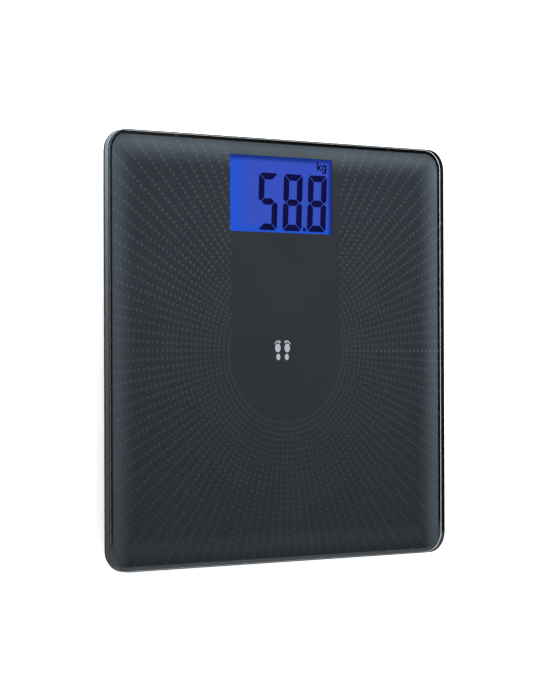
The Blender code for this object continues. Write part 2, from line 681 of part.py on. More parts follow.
def make_clip(name, finishes, sign_x, low_point, high_point, share):
    """A stick-on clip over a straight stretch of lead, a share of the way between two points."""
    low = Vector((sign_x * low_point[0], low_point[1]))
    high = Vector((sign_x * high_point[0], high_point[1]))
    middle = low.lerp(high, share)
    turn = math.degrees((high - low).angle_signed(Vector((1, 0))))
    place = pivot(f"{name}_place", (middle.x, middle.y, 0.0), turn)
    block = prism(rounded_outline((-4.0, -5.0), (4.0, 5.0), 1.5, 2), CLIP_LOW_Z, TAPE_Z + TAPE)
    soften_rim(block, CLIP_LOW_Z, 0.5)
    clip = to_object(name, block, finishes["white"], parent=place)
    tunnel = turn_to_x(rod(LEAD_RADIUS + 0.35, -6.0, 6.0))
    cut(clip, f"{name}_tunnel", tunnel, (0.0, 0.0, LEAD_RUN_Z))


def main():
    clear_scene()
    finishes = make_finishes()
    make_platform(finishes)
    make_housing(finishes)
    make_door(finishes)
    make_display(finishes)
    make_board(finishes)
    make_button(finishes)
    for number, side in ((1, -1), (2, 1)):
        make_cell(f"battery_{number}", finishes, side)
        make_contacts(number, finishes, side)
    for corner in CORNERS:
        make_pod(corner, finishes)
        make_lead(corner, finishes)
    for sign_x, label in ((-1, "left"), (1, "right")):
        make_clip(f"lead_clip_{label}_1", finishes, sign_x, CLIP_START, HEEL_RUN_LOW, 0.6)
        make_clip(f"lead_clip_{label}_2", finishes, sign_x, HEEL_RUN_LOW, HEEL_RUN_HIGH, 0.8)


main()
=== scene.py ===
"""Digital bathroom scale: the finished surfaces, the room and the camera.

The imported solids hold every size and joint. This script gives each of them its finish, and stands
finer pieces in for those whose surface shows: the glass, the print under it, the display, the feet
and the leads. Pieces are drawn in millimetres and made into metres when they are finished.
"""

import math

import bmesh
import bpy
from mathutils import Matrix, Vector


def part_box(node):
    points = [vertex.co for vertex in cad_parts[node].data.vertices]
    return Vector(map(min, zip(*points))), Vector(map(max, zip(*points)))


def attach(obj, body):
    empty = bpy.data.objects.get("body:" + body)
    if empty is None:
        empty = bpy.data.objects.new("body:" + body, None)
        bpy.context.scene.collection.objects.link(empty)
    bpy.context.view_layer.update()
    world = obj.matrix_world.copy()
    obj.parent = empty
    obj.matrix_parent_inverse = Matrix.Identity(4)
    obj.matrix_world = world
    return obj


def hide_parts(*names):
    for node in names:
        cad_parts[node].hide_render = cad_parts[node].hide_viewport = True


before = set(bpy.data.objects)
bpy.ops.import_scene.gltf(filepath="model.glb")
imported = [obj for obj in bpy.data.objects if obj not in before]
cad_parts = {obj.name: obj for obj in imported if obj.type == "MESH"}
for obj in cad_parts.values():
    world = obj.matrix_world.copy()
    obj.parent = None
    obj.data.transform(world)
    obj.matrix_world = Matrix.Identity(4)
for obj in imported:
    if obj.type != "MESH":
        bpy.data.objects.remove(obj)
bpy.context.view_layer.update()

MM = 0.001
CORNERS = ("toe_left", "toe_right", "heel_left", "heel_right")


def box_of(node):
    """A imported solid's lowest and highest corners, in millimetres."""
    low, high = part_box(node)
    return low / MM, high / MM


# Platform, as packed
GLASS_LOW, GLASS_HIGH = box_of("platform_glass")
FILM_LOW = box_of("print_film")[0]
HALF = GLASS_HIGH.x
CORNER_RADIUS = 15.0
ARRIS = 0.5  # width of the ground edge above and below the wall
PRINT_MARGIN = 0.5  # between the print and the wall, all round
BAND_MARGIN = 0.6  # from each face to the ground band on the wall
BAND_HALF = 2.0  # half height of the band's pale middle
CONTACT = 0.02  # how far the print is keyed into the glass, so that no air shows between them
OUTLINE = 3.0  # width of the black line round the print

# Gap between touching pieces, as packed
GAP = 0.3

# Window in the print
WINDOW = (92.0, 54.0)
WINDOW_Y = 111.0

# Grip dots, on rings and rays round the platform's centre
RAYS = 120
RING_PITCH = 4.0
FIRST_RING = 51.5
DOT_RADIUS = 1.15
DOT_HEIGHT = 0.2
DOT_MARGIN = 2.8  # left plain along the platform's edge
PLAIN_HALF = 49.0  # half width of the plain lane from the centre to the display
DOT_ALPHA = 0.021

# The print's colours, and the painted light near its edge
FIELD_COLOUR = "#272b30"
LANE_COLOUR = "#282b2f"
# Painted light: the paler colour the print shows near the glass edge, as if lit through it
EDGE_LIGHT_COLOUR = "#586168"

# The room's light, as a share of white
ROOM_LEVEL = 1.1
CARD_LEVEL = 0.05  # of the dark card that the glass mirrors
WALL_LEVEL = 0.75  # of the white wall beside the card
FLOOR_GLOW = 0.53
CARD_WAY = Vector((0.61, -0.02, 0.79)).normalized()  # from the scale to the card's middle
CARD_ANGLES = (13, 20)  # in degrees from there to the near and far side of the card's soft edge
CARD_END = (0.091, 0.106)  # the way's Y part where the card gives way to the wall

# Figures, seen from above, with x to the right and y down from the top of a digit
DIGIT = (17.2, 40.7)
STROKE = (5.1, 4.7)  # of the upright and the level segments
SEGMENT_GAP = 0.35
CHAMFER = 2.0
WAIST = 1.7  # cut off the outer corners at half height
SLANT = math.tan(math.radians(2.4))
DIGIT_LOW_Y = 85.5
DIGIT_X = (-21.2, 1.0, 23.2)
LIT = ("afgcd", "abcdefg", "abcdefg")
INK_RISE = 0.02
DIGIT_CORNER = 0.35  # how far the segments' corners are rounded
DECIMAL_POINT = ((19.75, 0.1), (22.3, 0.1), (22.4, 2.7), (19.85, 2.7))  # y up from the digits' foot
UNIT_PLACE = (32.9, 129.9)  # where the unit's letters start
UNIT_SCALE = 0.93
UNIT_STROKE = 1.2


# --- Finishes -------------------------------------------------------------------------------

SMOOTH = {"interpolation_type": "SMOOTHSTEP"}


def linear(colour):
    """A scene-linear colour from an sRGB hex value."""
    shares = [int(colour[start:start + 2], 16) / 255.0 for start in (1, 3, 5)]
    values = [s / 12.92 if s <= 0.04045 else ((s + 0.055) / 1.055) ** 2.4 for s in shares]
    return (*values, 1.0)


def feed(tree, node, inputs):
    """Gives a node's inputs numbers, hex colours or other nodes' outputs."""
    for key, value in inputs.items():
        if isinstance(value, bpy.types.NodeSocket):
            tree.links.new(value, node.inputs[key])
        else:
            node.inputs[key].default_value = linear(value) if isinstance(value, str) else value


def add(tree, kind, settings, inputs):
    """Adds a shader node with its settings and inputs, and returns the output in use."""
    made = tree.nodes.new("ShaderNode" + kind)
    for name, value in settings.items():
        setattr(made, name, value)
    feed(tree, made, inputs)
    return next(output for output in made.outputs if output.enabled)


def begin(name):
    """A new material with its tree, its Principled shader, and the point on the object."""
    material = bpy.data.materials.new(name)
    material.use_nodes = True
    tree = material.node_tree
    place = add(tree, "TexCoord", {}, {}).node.outputs["Object"]
    return material, tree, tree.nodes["Principled BSDF"], place


def outline_depth(tree, place):
    """How far a point lies inside the platform's outline, in metres."""
    core = (HALF - CORNER_RADIUS) * MM
    flat = add(tree, "VectorMath", {"operation": "MULTIPLY"}, {0: place, 1: (1.0, 1.0, 0.0)})
    size = add(tree, "VectorMath", {"operation": "ABSOLUTE"}, {0: flat})
    past = add(tree, "VectorMath", {"operation": "SUBTRACT"}, {0: size, 1: (core, core, 0.0)})
    corner = add(tree, "VectorMath", {"operation": "MAXIMUM"}, {0: past, 1: (0.0, 0.0, 0.0)})
    reach = add(tree, "VectorMath", {"operation": "LENGTH"}, {0: corner})
    parts = add(tree, "SeparateXYZ", {}, {0: past}).node.outputs
    inner = add(tree, "Math", {"operation": "MAXIMUM"}, {0: parts["X"], 1: parts["Y"]})
    inner = add(tree, "Math", {"operation": "MINIMUM"}, {0: inner, 1: 0.0})
    outward = add(tree, "Math", {"operation": "ADD"}, {0: reach, 1: inner})
    return add(tree, "Math", {"operation": "SUBTRACT"}, {0: CORNER_RADIUS * MM, 1: outward})


def tempered_glass():
    """Tempered float glass: polished faces, clear and faintly cool, with a ground, smoky arris."""
    material, tree, shader, place = begin("tempered_glass_polished")
    depth = outline_depth(tree, place)
    # The arris is ground with 240 grit, so it scatters and takes up light where the face is clear.
    ground = add(tree, "MapRange", {}, {0: depth, 1: (ARRIS + 0.1) * MM, 2: (ARRIS - 0.1) * MM})
    colour = add(tree, "Mix", {"data_type": "RGBA"}, {0: ground, 6: "#f4f8f8", 7: "#747c80"})
    rough = add(tree, "MapRange", {}, {0: ground, 3: 0.0, 4: 0.22})
    feed(tree, shader, {
        "Base Color": colour, "Roughness": rough, "IOR": 1.52, "Transmission Weight": 1.0,
    })
    return material


def ground_edge():
    """The wall of the glass, ground with 120 grit: a matt grey band that catches the light."""
    material, tree, shader, place = begin("glass_edge_ground")
    # Grit marks run along the edge; they are drawn 0.5 mm apart so that they show.
    grit = add(tree, "TexNoise", {}, {"Vector": place, "Scale": 1 / (0.5 * MM), "Detail": 3.0})
    flat = add(tree, "Mix", {"data_type": "RGBA"}, {0: grit, 6: "#2e3438", 7: "#3c4348"})
    # Painted shade: the grey is darkened from the toe end to the heel end, where less lamp light
    # falls.
    parts = add(tree, "SeparateXYZ", {}, {0: place}).node.outputs
    band_heel_shade = add(tree, "MapRange", {}, {0: parts["Y"], 1: -60 * MM, 2: 110 * MM, 3: 0.6, 4: 1.0})
    flat = add(tree, "HueSaturation", {}, {"Color": flat, "Value": band_heel_shade})
    # Only the flat middle is ground pale. The seams above and below it are painted dark, as painted
    # shade for the dark lines the arrises show.
    middle = (GLASS_LOW.z + GLASS_HIGH.z) / 2 * MM
    away = add(tree, "Math", {"operation": "SUBTRACT"}, {0: parts["Z"], 1: middle})
    away = add(tree, "Math", {"operation": "ABSOLUTE"}, {0: away})
    painted_dark_seam = add(tree, "MapRange", SMOOTH, {
        0: away, 1: (BAND_HALF - 0.3) * MM, 2: (BAND_HALF + 0.3) * MM})
    colour = add(tree, "Mix", {"data_type": "RGBA"}, {0: painted_dark_seam, 6: flat, 7: "#07090a"})
    bump = add(tree, "Bump", {}, {"Height": grit, "Strength": 0.3, "Distance": 0.02 * MM})
    feed(tree, shader, {
        "Base Color": colour, "Roughness": 0.6, "Specular IOR Level": 0.1, "Normal": bump,
    })
    return material


def screen_print():
    """Slate enamel, screen printed on the glass: painted light makes it paler towards its edge,
    painted shade darker towards the heel, inside a black outline.
    """
    material, tree, shader, place = begin("slate_enamel_screen_printed")
    parts = add(tree, "SeparateXYZ", {}, {0: place}).node.outputs
    side = add(tree, "Math", {"operation": "ABSOLUTE"}, {0: parts["X"]})
    # The lane from the centre to the display is printed a little less blue than the rest.
    beside = add(tree, "MapRange", {}, {
        0: side, 1: (PLAIN_HALF + 0.6) * MM, 2: (PLAIN_HALF - 0.6) * MM})
    above = add(tree, "MapRange", {}, {0: parts["Y"], 1: -0.6 * MM, 2: 0.6 * MM})
    lane = add(tree, "Math", {"operation": "MULTIPLY"}, {0: beside, 1: above})
    flat = add(tree, "VectorMath", {"operation": "MULTIPLY"}, {0: place, 1: (1.0, 1.0, 0.0)})
    reach = add(tree, "VectorMath", {"operation": "LENGTH"}, {0: flat})
    disc = add(tree, "MapRange", {}, {
        0: reach, 1: (FIRST_RING - 1.8) * MM, 2: (FIRST_RING - 3.0) * MM})
    plain = add(tree, "Math", {"operation": "MAXIMUM"}, {0: lane, 1: disc})
    ground = add(tree, "Mix", {"data_type": "RGBA"}, {0: plain, 6: FIELD_COLOUR, 7: LANE_COLOUR})
    # Painted light: the print is painted paler towards the edge, as if lit through the glass's edge,
    # up to a black outline.
    depth = outline_depth(tree, place)
    painted_edge_light = add(tree, "MapRange", {}, {0: depth, 1: 25.0 * MM, 2: 4.0 * MM})
    painted_edge_light = add(tree, "Math", {"operation": "POWER"}, {0: painted_edge_light, 1: 2.0})
    # The painted edge light is weaker at the heel and along the left, weaker away from the toe, and
    # reaches further along the sides.
    off_heel = add(tree, "MapRange", SMOOTH, {0: parts["Y"], 1: -146 * MM, 2: -120 * MM})
    off_left = add(tree, "MapRange", SMOOTH, {
        0: parts["X"], 1: -150 * MM, 2: -125 * MM, 3: 0.55, 4: 1.0})
    painted_edge_light = add(tree, "Math", {"operation": "MULTIPLY"}, {0: painted_edge_light, 1: off_heel})
    at_toe = add(tree, "MapRange", SMOOTH, {
        0: parts["Y"], 1: 100 * MM, 2: 142 * MM, 3: 0.7, 4: 1.0})
    painted_edge_light = add(tree, "Math", {"operation": "MULTIPLY"}, {0: painted_edge_light, 1: at_toe})
    along_side = add(tree, "MapRange", SMOOTH, {
        0: side, 1: 130 * MM, 2: 146 * MM, 3: 0.0, 4: 0.6})
    painted_edge_light = add(tree, "Math", {"operation": "MAXIMUM"}, {0: painted_edge_light, 1: along_side})
    painted_edge_light = add(tree, "Math", {"operation": "MULTIPLY"}, {0: painted_edge_light, 1: off_left})
    rim = add(tree, "Mix", {"data_type": "RGBA"}, {0: painted_edge_light, 6: ground, 7: EDGE_LIGHT_COLOUR})
    # The dark outline is drawn wider along the left, and grey along the heel.
    wider = add(tree, "MapRange", SMOOTH, {
        0: parts["X"], 1: -138 * MM, 2: -146 * MM, 3: 0.0, 4: 2.0 * MM})
    within = add(tree, "Math", {"operation": "SUBTRACT"}, {0: depth, 1: wider})
    outline = add(tree, "MapRange", {}, {
        0: within, 1: (OUTLINE + 0.4) * MM, 2: (OUTLINE - 0.4) * MM})
    ink = add(tree, "Mix", {"data_type": "RGBA"}, {0: off_heel, 6: "#4e5357", 7: "#050607"})
    edged = add(tree, "Mix", {"data_type": "RGBA"}, {0: outline, 6: rim, 7: ink})
    # Screen mesh leaves a grain of about 0.3 mm, drawn at 0.6 mm so that it shows, over wide
    # patches where the ink is thicker. Painted shade darkens the print towards the heel.
    grain = add(tree, "TexNoise", {}, {"Vector": place, "Scale": 1 / (0.6 * MM), "Detail": 1.0})
    patches = add(tree, "TexNoise", {}, {"Vector": place, "Scale": 1 / (35 * MM), "Detail": 1.0})
    both = add(tree, "Math", {"operation": "ADD"}, {0: grain, 1: patches})
    value = add(tree, "MapRange", {}, {0: both, 1: 0.6, 2: 1.4, 3: 0.92, 4: 1.08})
    print_heel_shade = add(tree, "MapRange", {}, {0: parts["Y"], 1: -150 * MM, 2: 40 * MM, 3: 0.84, 4: 1.0})
    value = add(tree, "Math", {"operation": "MULTIPLY"}, {0: value, 1: print_heel_shade})
    shade = add(tree, "HueSaturation", {}, {"Color": edged, "Value": value})
    feed(tree, shader, {"Base Color": shade, "Roughness": 0.9, "Specular IOR Level": 0.0})
    return material


def backing_lacquer():
    """Black protective lacquer on the back of the print: satin, with a faint orange peel."""
    material, tree, shader, place = begin("black_lacquer_rolled")
    peel = add(tree, "TexNoise", {}, {"Vector": place, "Scale": 1 / (2.5 * MM), "Detail": 2.0})
    colour = add(tree, "Mix", {"data_type": "RGBA"}, {0: peel, 6: "#17191b", 7: "#1f2123"})
    rough = add(tree, "MapRange", {}, {0: peel, 1: 0.3, 2: 0.7, 3: 0.38, 4: 0.52})
    bump = add(tree, "Bump", {}, {"Height": peel, "Strength": 0.3, "Distance": 0.03 * MM})
    feed(tree, shader, {"Base Color": colour, "Roughness": rough, "Normal": bump})
    return material


def grip_resin():
    """Clear ink domes cured on the glass for grip: satin, a little paler than the print."""
    material, tree, shader, place = begin("clear_resin_screen_printed")
    # Each dome takes a slightly different amount of ink, which shows as uneven brightness.
    uneven = add(tree, "TexNoise", {}, {"Vector": place, "Scale": 1 / (3 * MM), "Detail": 1.0})
    share = add(tree, "MapRange", {}, {0: uneven, 1: 0.3, 2: 0.7})
    colour = add(tree, "Mix", {"data_type": "RGBA"}, {0: share, 6: "#b8c0c6", 7: "#ccd2d6"})
    # The inner rings are printed with less ink, so they show less. Painted light makes the dots show
    # more towards the toe and less towards the heel.
    flat = add(tree, "VectorMath", {"operation": "MULTIPLY"}, {0: place, 1: (1.0, 1.0, 0.0)})
    reach = add(tree, "VectorMath", {"operation": "LENGTH"}, {0: flat})
    alpha = add(tree, "MapRange", {}, {
        0: reach, 1: FIRST_RING * MM, 2: 100 * MM, 3: DOT_ALPHA * 0.7, 4: DOT_ALPHA})
    parts = add(tree, "SeparateXYZ", {}, {0: place}).node.outputs
    dots_toe_light = add(tree, "MapRange", {}, {
        0: parts["Y"], 1: -150 * MM, 2: 100 * MM, 3: 0.55, 4: 1.5})
    alpha = add(tree, "Math", {"operation": "MULTIPLY"}, {0: alpha, 1: dots_toe_light})
    feed(tree, shader, {
        "Base Color": colour, "Roughness": 0.4, "IOR": 1.48, "Specular IOR Level": 0.4,
        "Alpha": alpha,
    })
    return material


def step_ink():
    """Light grey enamel, screen printed: the two feet that mark where to stand."""
    material, tree, shader, place = begin("grey_enamel_screen_printed")
    grain = add(tree, "TexNoise", {}, {"Vector": place, "Scale": 1 / (0.6 * MM), "Detail": 2.0})
    colour = add(tree, "Mix", {"data_type": "RGBA"}, {0: grain, 6: "#8f959b", 7: "#a2a8ae"})
    feed(tree, shader, {"Base Color": colour, "Roughness": 0.9, "Specular IOR Level": 0.0})
    return material


def lit_display():
    """A blue display lit from its left side: bright there, with shade at its right and top."""
    material, tree, shader, place = begin("blue_display_backlit")
    parts = add(tree, "SeparateXYZ", {}, {0: place}).node.outputs
    right = WINDOW[0] / 2
    low, high = WINDOW_Y - WINDOW[1] / 2, WINDOW_Y + WINDOW[1] / 2
    # The light strip stands along the left side, and the guide makes the middle paler.
    from_left = add(tree, "MapRange", SMOOTH, {
        0: parts["X"], 1: -right * MM, 2: (20 - right) * MM})
    from_low = add(tree, "MapRange", SMOOTH, {0: parts["Y"], 1: low * MM, 2: (low + 9) * MM})
    middle = add(tree, "Math", {"operation": "MULTIPLY"}, {0: from_left, 1: from_low})
    glow = add(tree, "Mix", {"data_type": "RGBA"}, {0: middle, 6: "#1d57dc", 7: "#3853ca"})
    # The holder's walls shade the display along the right and under the print's edge at the top.
    at_right = add(tree, "MapRange", SMOOTH, {
        0: parts["X"], 1: (right - 4.5) * MM, 2: (right - 0.2) * MM})
    at_top = add(tree, "MapRange", SMOOTH, {
        0: parts["Y"], 1: (high - 4.8) * MM, 2: (high - 0.8) * MM})
    shade = add(tree, "Math", {"operation": "MAXIMUM"}, {0: at_right, 1: at_top})
    colour = add(tree, "Mix", {"data_type": "RGBA"}, {0: shade, 6: glow, 7: "#0b2f8c"})
    # The guide's dots, 1.2 mm apart, show through as the faintest mottle.
    dots = add(tree, "TexNoise", {}, {"Vector": place, "Scale": 1 / (1.2 * MM), "Detail": 0.0})
    value = add(tree, "MapRange", {}, {0: dots, 1: 0.3, 2: 0.7, 3: 0.97, 4: 1.03})
    light = add(tree, "HueSaturation", {}, {"Color": colour, "Value": value})
    feed(tree, shader, {
        "Base Color": "#04081c", "Roughness": 0.4, "Specular IOR Level": 0.05,
        "Emission Color": light, "Emission Strength": 1.0,
    })
    return material


def display_ink():
    """Display segments where the crystal blocks the light: blue-black, with a slight mottle."""
    material, tree, shader, place = begin("display_segment_dark")
    mottle = add(tree, "TexNoise", {}, {"Vector": place, "Scale": 1 / (0.5 * MM), "Detail": 2.0})
    colour = add(tree, "Mix", {"data_type": "RGBA"}, {0: mottle, 6: "#020230", 7: "#040437"})
    feed(tree, shader, {"Base Color": colour, "Roughness": 0.5, "Specular IOR Level": 0.0})
    return material


def moulded(name, dark, pale, roughness, grain, depth):
    """Injection-moulded plastic or rubber: a spark-eroded grain, and cloudy patches of gloss."""
    material, tree, shader, place = begin(name)
    pits = add(tree, "TexNoise", {}, {"Vector": place, "Scale": 1 / (grain * MM), "Detail": 3.0})
    clouds = add(tree, "TexNoise", {}, {"Vector": place, "Scale": 1 / (12 * MM), "Detail": 2.0})
    share = add(tree, "MapRange", {}, {0: clouds, 1: 0.3, 2: 0.7})
    colour = add(tree, "Mix", {"data_type": "RGBA"}, {0: share, 6: dark, 7: pale})
    rough = add(tree, "MapRange", {}, {0: share, 3: roughness - 0.06, 4: roughness + 0.06})
    bump = add(tree, "Bump", {}, {"Height": pits, "Strength": 0.6, "Distance": depth * MM})
    feed(tree, shader, {"Base Color": colour, "Roughness": rough, "IOR": 1.53, "Normal": bump})
    return material


def foam_tape():
    """Closed-cell foam tape: chalky white, with cells of half a millimetre."""
    material, tree, shader, place = begin("white_foam_tape_cut")
    cells = add(tree, "TexVoronoi", {}, {"Vector": place, "Scale": 1 / (0.5 * MM)})
    colour = add(tree, "Mix", {"data_type": "RGBA"}, {0: cells, 6: "#ddddd6", 7: "#b9b9b1"})
    bump = add(tree, "Bump", {}, {"Height": cells, "Strength": 0.7, "Distance": 0.15 * MM})
    feed(tree, shader, {
        "Base Color": colour, "Roughness": 0.95, "Specular IOR Level": 0.2, "Normal": bump,
    })
    return material


def drawn_metal(name, dark, pale, roughness, stretch):
    """Rolled or drawn metal: fine marks along one way, over faint cloudy stains."""
    material, tree, shader, place = begin(name)
    along = add(tree, "Mapping", {}, {"Vector": place, "Scale": stretch})
    # Marks are a few hundredths of a millimetre apart; they are drawn 0.3 mm apart to show.
    marks = add(tree, "TexNoise", {}, {"Vector": along, "Scale": 1 / (0.3 * MM), "Detail": 3.0})
    stains = add(tree, "TexNoise", {}, {"Vector": place, "Scale": 1 / (9 * MM), "Detail": 2.0})
    colour = add(tree, "Mix", {"data_type": "RGBA"}, {0: stains, 6: dark, 7: pale})
    rough = add(tree, "MapRange", {}, {
        0: marks, 1: 0.3, 2: 0.7, 3: roughness - 0.08, 4: roughness + 0.1})
    bump = add(tree, "Bump", {}, {"Height": marks, "Strength": 0.25, "Distance": 0.02 * MM})
    feed(tree, shader, {
        "Base Color": colour, "Metallic": 1.0, "Roughness": rough, "Normal": bump,
    })
    return material


def circuit_laminate():
    """Glass-epoxy laminate under green solder mask: tracks show as paler, raised lines."""
    material, tree, shader, place = begin("green_solder_mask_on_laminate")
    # Tracks lie 2 mm apart and jog sideways in steps, as routed tracks do.
    bend = add(tree, "TexNoise", {}, {"Vector": place, "Scale": 1 / (14 * MM), "Detail": 0.0})
    jog = add(tree, "Math", {"operation": "SNAP"}, {0: bend, 1: 0.15})
    parts = add(tree, "SeparateXYZ", {}, {0: place}).node.outputs
    moved = add(tree, "Math", {"operation": "MULTIPLY_ADD"}, {0: jog, 1: 25 * MM, 2: parts["Y"]})
    phase = add(tree, "Math", {"operation": "MULTIPLY"}, {0: moved, 1: math.tau / (2 * MM)})
    wave = add(tree, "Math", {"operation": "SINE"}, {0: phase})
    track = add(tree, "MapRange", {}, {0: wave, 1: 0.55, 2: 0.7})
    colour = add(tree, "Mix", {"data_type": "RGBA"}, {0: track, 6: "#0f4a2a", 7: "#1d6b3f"})
    bump = add(tree, "Bump", {}, {"Height": track, "Strength": 0.4, "Distance": 0.035 * MM})
    feed(tree, shader, {"Base Color": colour, "Roughness": 0.32, "IOR": 1.5, "Normal": bump})
    return material


def light_guide():
    """Clear acrylic over a pattern of white dots, glowing faintly blue."""
    material, tree, shader, place = begin("acrylic_light_guide_polished")
    cells = add(tree, "TexVoronoi", {}, {
        "Vector": place, "Scale": 1 / (1.5 * MM), "Randomness": 0.0})
    spot = add(tree, "MapRange", {}, {0: cells, 1: 0.3, 2: 0.2})
    colour = add(tree, "Mix", {"data_type": "RGBA"}, {0: spot, 6: "#8fa6d8", 7: "#e6ecf8"})
    feed(tree, shader, {
        "Base Color": colour, "Roughness": 0.15, "IOR": 1.49, "Emission Color": "#3355cc",
        "Emission Strength": 0.4,
    })
    return material


def layered_elastomer():
    """Silicone strip with carbon layers 0.4 mm apart: pink, crossed by dark lines."""
    material, tree, shader, place = begin("pink_elastomer_layered")
    parts = add(tree, "SeparateXYZ", {}, {0: place}).node.outputs
    phase = add(tree, "Math", {"operation": "MULTIPLY"}, {0: parts["X"], 1: math.tau / (0.4 * MM)})
    layers = add(tree, "Math", {"operation": "SINE"}, {0: phase})
    share = add(tree, "MapRange", {}, {0: layers, 1: -0.2, 2: 0.2})
    colour = add(tree, "Mix", {"data_type": "RGBA"}, {0: share, 6: "#d08c90", 7: "#2a2628"})
    feed(tree, shader, {"Base Color": colour, "Roughness": 0.7})
    return material


def battery_sleeve(plus_end):
    """Shrink sleeve on a cell: gloss dark blue, with a plain copper band at the plus end."""
    label = "left" if plus_end < 0 else "right"
    material, tree, shader, place = begin(f"shrink_sleeve_gloss_{label}")
    parts = add(tree, "SeparateXYZ", {}, {0: place}).node.outputs
    along = add(tree, "Math", {"operation": "MULTIPLY"}, {0: parts["X"], 1: float(plus_end)})
    band = add(tree, "MapRange", {}, {0: along, 1: 9.9 * MM, 2: 10.1 * MM})
    crown = add(tree, "MapRange", {}, {0: along, 1: 23.35 * MM, 2: 23.45 * MM})
    wrinkles = add(tree, "TexNoise", {}, {"Vector": place, "Scale": 1 / (6 * MM), "Detail": 2.0})
    sleeve = add(tree, "Mix", {"data_type": "RGBA"}, {0: band, 6: "#1c2c4e", 7: "#b8743a"})
    colour = add(tree, "Mix", {"data_type": "RGBA"}, {0: crown, 6: sleeve, 7: "#c4c3bd"})
    rough = add(tree, "MapRange", {}, {0: wrinkles, 1: 0.3, 2: 0.7, 3: 0.22, 4: 0.36})
    bump = add(tree, "Bump", {}, {"Height": wrinkles, "Strength": 0.2, "Distance": 0.1 * MM})
    feed(tree, shader, {
        "Base Color": colour, "Metallic": crown, "Roughness": rough, "Normal": bump,
    })
    return material


def wire_sheath(name, colour, darker):
    """Soft PVC sheath on a fine wire: satin, with faint scuffs."""
    material, tree, shader, place = begin(name)
    scuffs = add(tree, "TexNoise", {}, {"Vector": place, "Scale": 1 / (1.2 * MM), "Detail": 2.0})
    shade = add(tree, "Mix", {"data_type": "RGBA"}, {0: scuffs, 6: colour, 7: darker})
    rough = add(tree, "MapRange", {}, {0: scuffs, 1: 0.3, 2: 0.7, 3: 0.36, 4: 0.5})
    feed(tree, shader, {"Base Color": shade, "Roughness": rough, "IOR": 1.53})
    return material


def studio_paint():
    """White studio paint, rolled on a table lit from within: flat, with the faintest cloud."""
    material, tree, shader, place = begin("white_studio_paint_rolled")
    clouds = add(tree, "TexNoise", {}, {"Vector": place, "Scale": 1 / (400 * MM), "Detail": 1.0})
    colour = add(tree, "Mix", {"data_type": "RGBA"}, {0: clouds, 6: "#f4f4f4", 7: "#f8f8f8"})
    feed(tree, shader, {
        "Base Color": colour, "Roughness": 0.95, "Specular IOR Level": 0.0,
        "Emission Color": "#ffffff", "Emission Strength": FLOOR_GLOW,
    })
    return material


# --- Modelling ------------------------------------------------------------------------------


def piece(name, bm, material, body, stands_for=(), sharp=35):
    """A finished piece from a bmesh in millimetres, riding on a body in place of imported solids."""
    bmesh.ops.recalc_face_normals(bm, faces=bm.faces)
    bmesh.ops.scale(bm, vec=(MM, MM, MM), verts=bm.verts)
    mesh = bpy.data.meshes.new(name)
    bm.to_mesh(mesh)
    bm.free()
    mesh.materials.append(material)
    mesh.shade_smooth()
    mesh.set_sharp_from_angle(angle=math.radians(sharp))
    made = bpy.data.objects.new(name, mesh)
    bpy.context.scene.collection.objects.link(made)
    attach(made, body)
    if stands_for:
        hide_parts(*stands_for)
    return made


def rounded_face(bm, low, high, radius, height, steps=16):
    """One flat face on a rounded rectangle, made by rounding a square's corners."""
    corners = ((low[0], low[1]), (high[0], low[1]), (high[0], high[1]), (low[0], high[1]))
    verts = [bm.verts.new((x, y, height)) for x, y in corners]
    face = bm.faces.new(verts)
    if radius:
        bmesh.ops.bevel(
            bm, geom=verts, offset=radius, offset_type="OFFSET", segments=steps,
            profile=0.5, affect="VERTICES", clamp_overlap=False, material=-1,
        )
        face = max(bm.faces, key=lambda item: item.calc_area())
    return face


def pull(bm, faces, rise):
    """Extrudes faces along Z and returns the new ones."""
    pulled = bmesh.ops.extrude_face_region(bm, geom=list(faces))["geom"]
    verts = [item for item in pulled if isinstance(item, bmesh.types.BMVert)]
    bmesh.ops.translate(bm, vec=(0.0, 0.0, rise), verts=verts)
    return [item for item in pulled if isinstance(item, bmesh.types.BMFace)]


def slab(low, high, radius, steps=16):
    """A rounded plate between two corners."""
    bm = bmesh.new()
    face = rounded_face(bm, low, high, radius, low[2], steps)
    pull(bm, [face], high[2] - low[2])
    return bm


def round_edges(bm, width, segments, heights=None):
    """Rounds the sharp edges, or only those that lie at given heights."""
    if heights is None:
        chosen = [e for e in bm.edges if len(e.link_faces) == 2 and e.calc_face_angle(0.0) > 0.6]
    else:
        chosen = [
            e for e in bm.edges
            if any(all(abs(v.co.z - z) < 1e-3 for v in e.verts) for z in heights)
        ]
    bmesh.ops.bevel(
        bm, geom=chosen, offset=width, offset_type="OFFSET", segments=segments,
        profile=0.5, affect="EDGES", clamp_overlap=True, material=-1,
    )


def turned(profile, steps=96, soften=0.0):
    """A closed (radius, height) profile turned about Z."""
    bm = bmesh.new()
    verts = [bm.verts.new((radius, 0.0, height)) for radius, height in profile]
    edges = [bm.edges.new(pair) for pair in zip(verts, verts[1:])]
    if profile[0][0] > 0.0:
        edges.append(bm.edges.new((verts[-1], verts[0])))
    bmesh.ops.spin(
        bm, geom=verts + edges, cent=(0, 0, 0), axis=(0, 0, 1),
        angle=math.tau, steps=steps, use_merge=True,
    )
    bmesh.ops.remove_doubles(bm, verts=bm.verts, dist=1e-4)
    bmesh.ops.recalc_face_normals(bm, faces=bm.faces)
    if soften:
        round_edges(bm, soften, 2)
    return bm


def join(bm, other):
    """Adds another bmesh's shape to the first, and frees the other."""
    carried = bpy.data.meshes.new("carried")
    other.to_mesh(carried)
    other.free()
    bm.from_mesh(carried)
    bpy.data.meshes.remove(carried)


def shift(bm, place):
    """Moves a shape, and returns it."""
    bmesh.ops.translate(bm, vec=place, verts=bm.verts)
    return bm


def centre_of(node):
    """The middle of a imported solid's box, in millimetres."""
    low, high = box_of(node)
    return (low + high) / 2


# --- Platform -------------------------------------------------------------------------------


